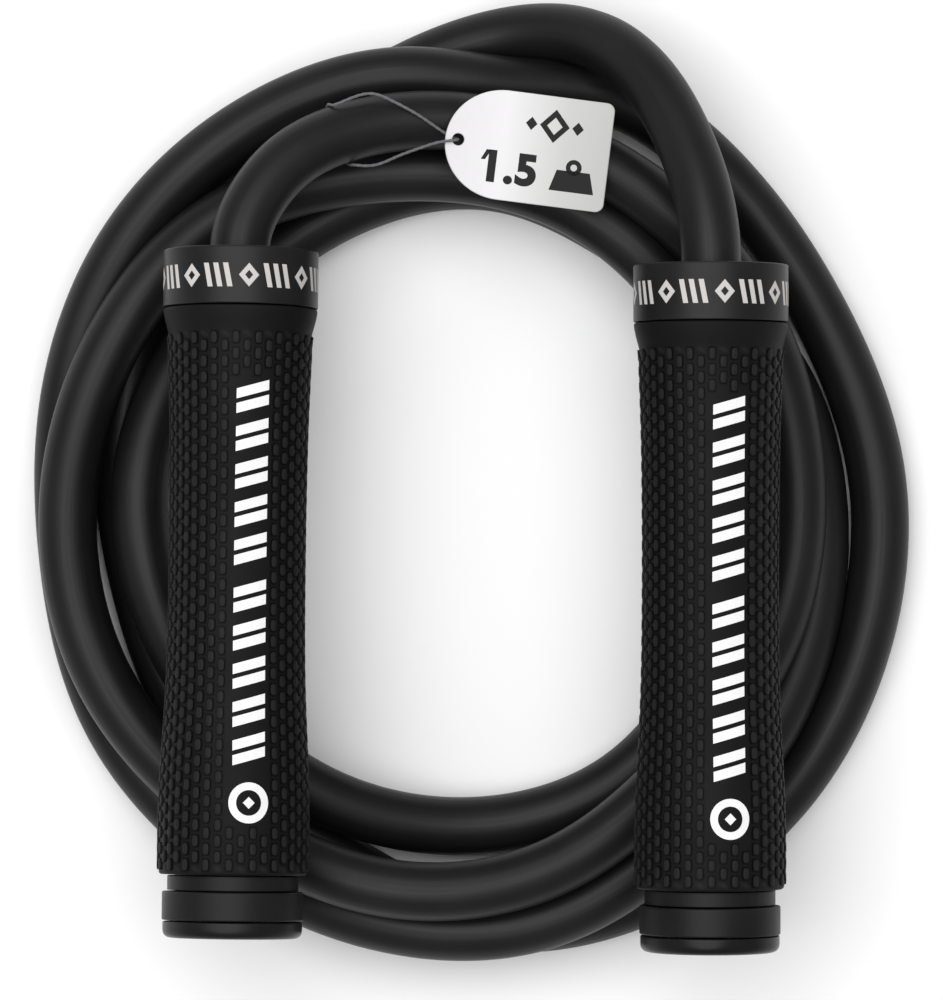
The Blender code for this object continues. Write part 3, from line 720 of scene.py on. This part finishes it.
def make_grip(side):
    """The rubber sleeve. Its surface is a lattice of cells, forty round and thirty-four along, every other
    column half a cell further on. Each cell's rim is twelve points, and inside it three rounded blocks of
    twelve points step up to a stud, so radius = grip_radius(depth) + the step's height. Cells under the
    print have no stud."""
    turn = TAU / GRIP_COLUMNS
    pitch = (GRAIN_END - GRAIN_START) / GRIP_ROWS
    first = math.radians(-1.0)
    rim = np.array(
        [
            (0.5, 0.0),
            (0.5, 0.25),
            (0.5, 0.5),
            (0.0, 0.5),
            (-0.5, 0.5),
            (-0.5, 0.25),
            (-0.5, 0.0),
            (-0.5, -0.25),
            (-0.5, -0.5),
            (0.0, -0.5),
            (0.5, -0.5),
            (0.5, -0.25),
        ]
    )
    around = np.arange(12) * TAU / 12
    steps = ((0.82, 1.42, 0.0), (0.74, 1.33, 0.44), (0.50, 1.06, 0.54))
    column = np.repeat(np.arange(GRIP_COLUMNS), GRIP_ROWS)
    row = np.tile(np.arange(GRIP_ROWS), GRIP_COLUMNS)
    odd = column % 2
    whole = (odd == 0) | (row < GRIP_ROWS - 1)
    column, row, odd = column[whole], row[whole], odd[whole]
    centre_angle = first + column * turn
    centre_depth = GRAIN_START + (row + 0.5 + 0.5 * odd) * pitch
    off_print = np.abs((centre_angle - PRINT_ANGLE + math.pi) % TAU - math.pi) > 1.85 * turn
    stud = off_print | (centre_depth < PRINT_START) | (centre_depth > PRINT_END)

    # the tone painted on each point: 0 at the foot of a stud, painted shade; 1 on its top, painted highlight
    # and wear; 0.5 on plain rubber
    plain = 0.5
    tops = [plain, 0.0, 0.85, 1.0]
    wear = [np.repeat(np.where(stud, top, plain)[:, None], 12, axis=1) for top in tops]
    wear.append(np.where(stud, 1.0, plain)[:, None])
    stud_shade_and_wear = [np.concatenate(wear, axis=1).ravel()]

    angles = [centre_angle[:, None] + rim[:, 0] * turn]
    depths = [centre_depth[:, None] + rim[:, 1] * pitch]
    heights = [np.zeros((len(column), 12))]
    local = grip_radius(centre_depth)[:, None]
    # a rounded block: cos and sin to this power, with their signs kept
    squareness = 0.62
    block_x = np.sign(np.cos(around)) * np.abs(np.cos(around)) ** squareness
    block_y = np.sign(np.sin(around)) * np.abs(np.sin(around)) ** squareness
    for wide, long, high in steps:
        angles.append(centre_angle[:, None] + wide * block_x / local)
        depths.append(centre_depth[:, None] + long * block_y)
        heights.append(np.repeat(stud[:, None] * high, 12, axis=1))
    angles.append(centre_angle[:, None])
    depths.append(centre_depth[:, None])
    heights.append(stud[:, None] * STUD_HEIGHT)
    angle, depth, height = (np.concatenate(part, axis=1) for part in (angles, depths, heights))
    cells = on_handle(side, depth, angle, grip_radius(depth) + height).reshape(-1, 3)
    k = np.arange(12)
    beside = (k + 1) % 12
    ring_quads = [
        np.stack([r + k, r + 12 + k, r + 12 + beside, r + beside], axis=1) for r in (0, 12, 24)
    ]
    crown = np.stack([36 + k, np.full(12, 48), 36 + beside], axis=1)
    offset = (np.arange(len(column)) * 49)[:, None, None]
    quads = [(np.concatenate(ring_quads)[None] + offset).reshape(-1, 4)]
    tris = (crown[None] + offset).reshape(-1, 3)
    points = [cells]
    count = len(cells)

    # half cells that fill the odd columns at both ends
    odd_angle = first + np.arange(1, GRIP_COLUMNS, 2) * turn
    for start in (GRAIN_START, GRAIN_END - pitch / 2):
        patch_angle = odd_angle[:, None, None] + np.array([-0.5, 0.0, 0.5])[None, None] * turn
        patch_depth = start + np.array([0, 0.25, 0.5])[None, :, None] * pitch
        patch_angle, patch_depth = np.broadcast_arrays(patch_angle, patch_depth)
        swell = np.zeros(patch_depth.shape)
        swell[:, 1, 1] = 0.30
        patch_radius = grip_radius(patch_depth) + swell
        points.append(on_handle(side, patch_depth, patch_angle, patch_radius).reshape(-1, 3))
        patch = grid_quads(3, 3, wrap_columns=False)[None] + 9 * np.arange(len(odd_angle))[:, None, None]
        quads.append(patch.reshape(-1, 4) + count)
        count += 9 * len(odd_angle)
        # the swollen middle of each half cell takes the top tone: painted highlight and wear
        stud_shade_and_wear.append(np.where(swell > 0, 1.0, plain).ravel())

    # the plain rest: rounded end, bore, front face and flare, as rings of the same eighty angles
    end_radius = float(grip_radius(GRAIN_END))
    flare = np.linspace(14.4, GRAIN_START, 9)
    profile = [(end_radius, GRAIN_END), (end_radius - 0.08, 147.35), (end_radius - 0.4, GRIP_END)]
    profile += [(GRIP_BORE, GRIP_END), (GRIP_BORE, GRIP_START), (18.0, GRIP_START), (18.18, 14.05)]
    profile = np.array(profile + [(float(grip_radius(d)), d) for d in flare])
    ring_angle = first + (np.arange(2 * GRIP_COLUMNS) - 1) * turn / 2
    points.append(on_handle(side, profile[:, 1:], ring_angle[None], profile[:, :1]).reshape(-1, 3))
    stud_shade_and_wear.append(np.full(len(points[-1]), plain))
    quads.append(grid_quads(len(profile), 2 * GRIP_COLUMNS) + count)
    grip = piece(
        side + "_grip",
        np.concatenate(points),
        np.concatenate(quads),
        FINISHES["grip_rubber"],
        side + "_handle",
        tris=tris,
        merge=3e-6,
        sharp=52,
        raised=np.concatenate(stud_shade_and_wear),
    )
    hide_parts(side + "_grip_sleeve")


def make_grip_print(side):
    """White print on the smooth strip: ten pairs of leaning bars, and a ring round a small lozenge."""
    shapes = []
    edge, lean, size, apart = 3.9, 2.2, 2.35, 3.45
    for k in range(10):
        start = 31.4 + k * 8.92 + (2.2 if k > 4 else 0.0)
        for near in (start, start + apart):
            far = near + size
            corners = [(-edge, near + lean), (edge, near), (edge, far), (-edge, far + lean)]
            shapes.append(bar(corners, rows=5, columns=9))
    ring_at = 130.6
    shapes.append(hoop(0.0, ring_at, 3.0, 4.8))
    shapes.append(bar([(-1.4, ring_at), (0, ring_at - 1.4), (1.4, ring_at), (0, ring_at + 1.4)]))

    def place(shape, face):
        radius = grip_radius(shape[..., 1])
        return on_handle(side, shape[..., 1], PRINT_ANGLE + shape[..., 0] / radius, radius + 0.03 * face)

    marks(side + "_grip_print", shapes, place, FINISHES["white_ink"], side + "_handle")


def make_core(side):
    """The nylon tube inside the grip. Its bearing seat is under the collar and its neck shows below."""
    profile = filleted(
        [
            (SEAT_BORE, SEAT_START, 0.05),
            (SEAT_RADIUS, SEAT_START, 0.05),
            (SEAT_RADIUS, SEAT_END, 0.05),
            (CORE_RADIUS, COLLAR_LENGTH, 0.05),
            (CORE_RADIUS, NECK_START, 0.05),
            (NECK_RADIUS, NECK_START, 0.15),
            (NECK_RADIUS, NECK_END, 0.15),
            (CORE_BORE, NECK_END, 0.05),
            (CORE_BORE, CORE_SHOULDER, 0.05),
            (SEAT_BORE, CORE_SHOULDER, 0.05),
        ],
        steps=2,
    )
    core = turned(side + "_core", side, profile, FINISHES["black_nylon"], side + "_handle", 112)
    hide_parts(side + "_handle_core")


def make_end_plug(side):
    """The push-in end cap with its seal groove, and the foot pegged into it with a rounded rim."""
    body = side + "_end_plug"
    cap_profile = filleted(
        [
            (0, CAP_WEB, 0),
            (SPIGOT_BORE, CAP_WEB, 0.1),
            (SPIGOT_BORE, SPIGOT_START, 0.1),
            (SPIGOT_RADIUS, SPIGOT_START, 0.3),
            (SPIGOT_RADIUS, SEAL_START, 0.1),
            (SEAL_FLOOR, SEAL_START, 0.1),
            (SEAL_FLOOR, SEAL_END, 0.1),
            (SPIGOT_RADIUS, SEAL_END, 0.1),
            (SPIGOT_RADIUS, CAP_START, 0.1),
            (CAP_RADIUS, CAP_START, 0.45),
            (CAP_RADIUS, CAP_END, 0.40),
            (PEG_HOLE, CAP_END, 0.1),
            (PEG_HOLE, PEG_HOLE_END, 0.1),
            (0, PEG_HOLE_END, 0),
        ]
    )
    cap = turned(side + "_cap", side, cap_profile, FINISHES["black_nylon"], body, 128)
    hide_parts(side + "_end_cap")
    foot_profile = filleted(
        [
            (0, PEG_END, 0),
            (PEG_RADIUS, PEG_END, 0.2),
            (PEG_RADIUS, FOOT_START, 0.1),
            (FOOT_RADIUS, FOOT_START, 0.35),
            (FOOT_RADIUS, FOOT_END, 2.2),
            (0, FOOT_END, 0),
        ],
        steps=8,
    )
    foot = turned(side + "_foot", side, foot_profile, FINISHES["foot_nylon"], body, 128)
    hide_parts(side + "_end_foot")


def make_sleeve(side):
    """The swivel sleeve that grips the rope's end and turns inside the bearing."""
    profile = filleted(
        [
            (SLEEVE_BORE, SLEEVE_START, 0.2),
            (SLEEVE_NECK, SLEEVE_START, 0.3),
            (SLEEVE_NECK, SLEEVE_SHOULDER, 0.1),
            (SLEEVE_RADIUS, SLEEVE_SHOULDER, 0.2),
            (SLEEVE_RADIUS, SLEEVE_END, 0.2),
            (SLEEVE_BORE, SLEEVE_END, 0.2),
        ]
    )
    sleeve = turned(side + "_sleeve", side, profile, FINISHES["zinc_steel"], "rope_assembly", 96)
    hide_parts(side + "_swivel_sleeve")


# --- Tag -------------------------------------------------------------------------------------------
TAG_LENGTH, TAG_WIDTH, TAG_THICKNESS = 39.6, 26.2, 1.0
TAG_NOSE, TAG_CORNER, TAG_HOLE_FROM_NOSE = 14.0, 2.0, 3.1


def on_tag(x, y, z):
    """Points in the tag's own directions, in millimetres from the middle of its hole: x along it, y across
    and z up from its middle plane. It is turned about Z by its yaw after about Y by its pitch."""
    cy, sy, cp, sp = math.cos(TAG_YAW), math.sin(TAG_YAW), math.cos(TAG_PITCH), math.sin(TAG_PITCH)
    along = np.array([cy * cp, sy * cp, -sp])
    across = np.array([-sy, cy, 0.0])
    upward = np.cross(along, across)
    x, y, z = np.broadcast_arrays(x, y, z)
    return TAG_HOLE + MM * (x[..., None] * along + y[..., None] * across + z[..., None] * upward)


def tag_edge():
    """The tag's edge, once round: half an ellipse for its nose, then straight sides and round corners."""
    half = TAG_WIDTH / 2
    nose = np.radians(np.linspace(90, -90, 61))
    bend = np.radians(np.linspace(90, 0, 9))
    side_x = np.linspace(TAG_NOSE, TAG_LENGTH - TAG_CORNER, 14)[1:-1]
    end_y = np.linspace(half - TAG_CORNER, -half + TAG_CORNER, 14)[1:-1]
    corner_x = TAG_LENGTH - TAG_CORNER + TAG_CORNER * np.cos(bend)
    corner_y = half - TAG_CORNER + TAG_CORNER * np.sin(bend)
    x = [TAG_NOSE * (1 - np.cos(nose)), side_x, corner_x, np.full(12, TAG_LENGTH)]
    y = [half * np.sin(nose), np.full(12, -half), -corner_y, -end_y]
    x += [corner_x[::-1], side_x[::-1]]
    y += [corner_y[::-1], np.full(12, half)]
    return np.stack([np.concatenate(x) - TAG_HOLE_FROM_NOSE, np.concatenate(y)], axis=1)


def make_tag():
    """The card: rings from its hole out to its edge, above and below, with small bevels at both. Ring k is
    (1 - k) * hole's circle + k * edge."""
    edge = tag_edge()
    bearing = np.arctan2(edge[:, 1], edge[:, 0])
    circle = np.stack([np.cos(bearing), np.sin(bearing)], axis=1)
    hole = 1.45 * circle
    half, bevel = TAG_THICKNESS / 2, 0.12
    inset = edge * (1 - 0.15 / np.linalg.norm(edge, axis=1))[:, None]
    lip = hole + bevel * circle
    rows = [(hole, -half + bevel), (hole, half - bevel)]
    rows += [((1 - k) * lip + k * inset, half) for k in (0, 0.04, 0.3, 0.6, 0.94, 1)]
    rows += [(edge, half - bevel), (edge, -half + bevel)]
    rows += [((1 - k) * lip + k * inset, -half) for k in (1, 0.94, 0.6, 0.3, 0.04, 0)]
    flat = np.stack([row for row, _ in rows])
    level = np.array([height for _, height in rows])[:, None]
    points = on_tag(flat[..., 0], flat[..., 1], level).reshape(-1, 3)
    quads = grid_quads(len(rows), len(edge), wrap_rows=True)
    place = flat.reshape(-1, 2)[quads.ravel()]
    uv = (place + (TAG_HOLE_FROM_NOSE, TAG_WIDTH / 2)) / (TAG_LENGTH, TAG_WIDTH)
    tag = piece("weight_tag", points, quads, FINISHES["silver_card"], "tag", uv=uv, recalc=True, sharp=30)
    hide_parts("hang_tag")


def make_tag_marks():
    """The weight on the tag: a bare number and a plain weight symbol, under three plain lozenges."""
    words = bpy.data.curves.new("weight_mark", "FONT")
    words.body = "1.5"
    words.size = 1.0
    words.offset = 0.045
    words.extrude = 0.1
    words.space_character = 1.08
    drawn = bpy.data.objects.new("weight_mark", words)
    bpy.context.scene.collection.objects.link(drawn)
    bpy.context.view_layer.update()
    mesh = bpy.data.meshes.new_from_object(drawn.evaluated_get(bpy.context.evaluated_depsgraph_get()))
    bpy.data.objects.remove(drawn)
    flat = np.empty(len(mesh.vertices) * 3, np.float32)
    mesh.vertices.foreach_get("co", flat)
    flat = flat.reshape(-1, 3).astype(float)
    low, high = flat.min(axis=0), flat.max(axis=0)
    unit = (flat - (low + high) / 2) / (high - low)
    centre_x, centre_y, width, height = 13.6, -5.3, 11.8, 7.8
    top = TAG_THICKNESS / 2
    x, y, z = centre_x + width * unit[:, 0], centre_y + height * unit[:, 1], top + 0.06 * unit[:, 2]
    placed = on_tag(x, y, z)
    mesh.vertices.foreach_set("co", placed.astype(np.float32).ravel())
    bm = bmesh.new()
    bm.from_mesh(mesh)
    bmesh.ops.remove_doubles(bm, verts=bm.verts, dist=1e-6)
    bmesh.ops.recalc_face_normals(bm, faces=bm.faces)
    bm.to_mesh(mesh)
    bm.free()
    mesh.name = "weight_mark"
    mesh.materials.clear()
    mesh.materials.append(FINISHES["dark_ink"])
    made = bpy.data.objects.new("weight_mark", mesh)
    bpy.context.scene.collection.objects.link(made)
    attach(made, "tag")

    # the flag of the figure 1, then the weight symbol: a block that narrows upward, with a ring on top
    flag = [(5.9, -3.9), (6.9, -3.9), (8.2, -1.6), (7.1, -1.4)]
    block = [(22.9, -9.2), (33.7, -9.2), (32.3, -4.2), (24.3, -4.2)]
    shapes = [bar(flag), bar(block), hoop(28.3, -3.3, 0.8, 1.9)]
    # three lozenges in a row, the middle one open
    row = 6.0
    shapes += lozenge_ring(22.6, row, 3.6, 4.0, 0.52)
    for x in (17.0, 28.2):
        shapes.append(bar([(x - 1.4, row), (x, row - 1.6), (x + 1.4, row), (x, row + 1.6)]))

    def place(shape, face):
        return on_tag(shape[..., 0], shape[..., 1], top + 0.03 * face)

    marks("tag_emblem", shapes, place, FINISHES["dark_ink"], "tag")


# --- Floor and light -------------------------------------------------------------------------------
def make_floor():
    """A plain pale floor under the lowest turn of the rope."""
    level = REST_HEIGHT - ROPE_DIAMETER / 2 - 0.0001
    half = 2.5
    corners = [(-half, -half, level), (half, -half, level), (half, half, level), (-half, half, level)]
    mesh = bpy.data.meshes.new("floor")
    mesh.from_pydata(corners, [], [(0, 1, 2, 3)])
    f = Finish("floor_paper", (0.93, 0.93, 0.93), 0.75, specular=0.2)
    f.spread(f.grain(300, detail=3), 0.7, 0.8, "Roughness")
    mesh.materials.append(f.material)
    floor = bpy.data.objects.new("floor", mesh)
    bpy.context.scene.collection.objects.link(floor)


def soft_box(name, at, size, power, aim=(0, 0.02, -0.03)):
    """A square area light turned to face a point."""
    lamp = bpy.data.lights.new(name, "AREA")
    lamp.shape = "RECTANGLE"
    lamp.size, lamp.size_y = size
    lamp.energy = power
    box = bpy.data.objects.new(name, lamp)
    box.location = at
    direction = box.location - type(box.location)(aim)
    box.rotation_euler = direction.to_track_quat("Z", "Y").to_euler()
    bpy.context.scene.collection.objects.link(box)


def light_studio():
    """A bright even room, and one large soft box overhead, a little to the left of the coil and behind it."""
    scene = bpy.context.scene
    scene.view_settings.view_transform = "Standard"
    world = bpy.data.worlds.new("studio")
    world.use_nodes = True
    world.node_tree.nodes["Background"].inputs["Color"].default_value = (1.0, 1.0, 1.0, 1.0)
    world.node_tree.nodes["Background"].inputs["Strength"].default_value = 0.46
    scene.world = world
    soft_box("overhead_box", (-0.30, 0.30, 2.0), (2.2, 2.2), 48.0)


def dress_cad_nodes():
    """The bearing's and swivel's own pieces keep their shapes and get finished metals."""
    kinds = {
        "race": "bearing_steel",
        "bearing_ball": "bearing_steel",
        "ball_cage": "brass_cage",
        "dust_shield": "zinc_steel",
        "grub_screw": "zinc_steel",
        "rope_stop": "zinc_steel",
        "end_cap_seal": "seal_rubber",
    }
    for node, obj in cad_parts.items():
        for kind, finish in kinds.items():
            if kind in node:
                for place in obj.material_slots:
                    place.material = FINISHES[finish]


look_down()
make_rope()
make_tag_string()
for handle in HANDLES:
    make_collar(handle)
    make_grip(handle)
    make_grip_print(handle)
    make_core(handle)
    make_end_plug(handle)
    make_sleeve(handle)
make_tag()
make_tag_marks()
dress_cad_nodes()
make_floor()
light_studio()
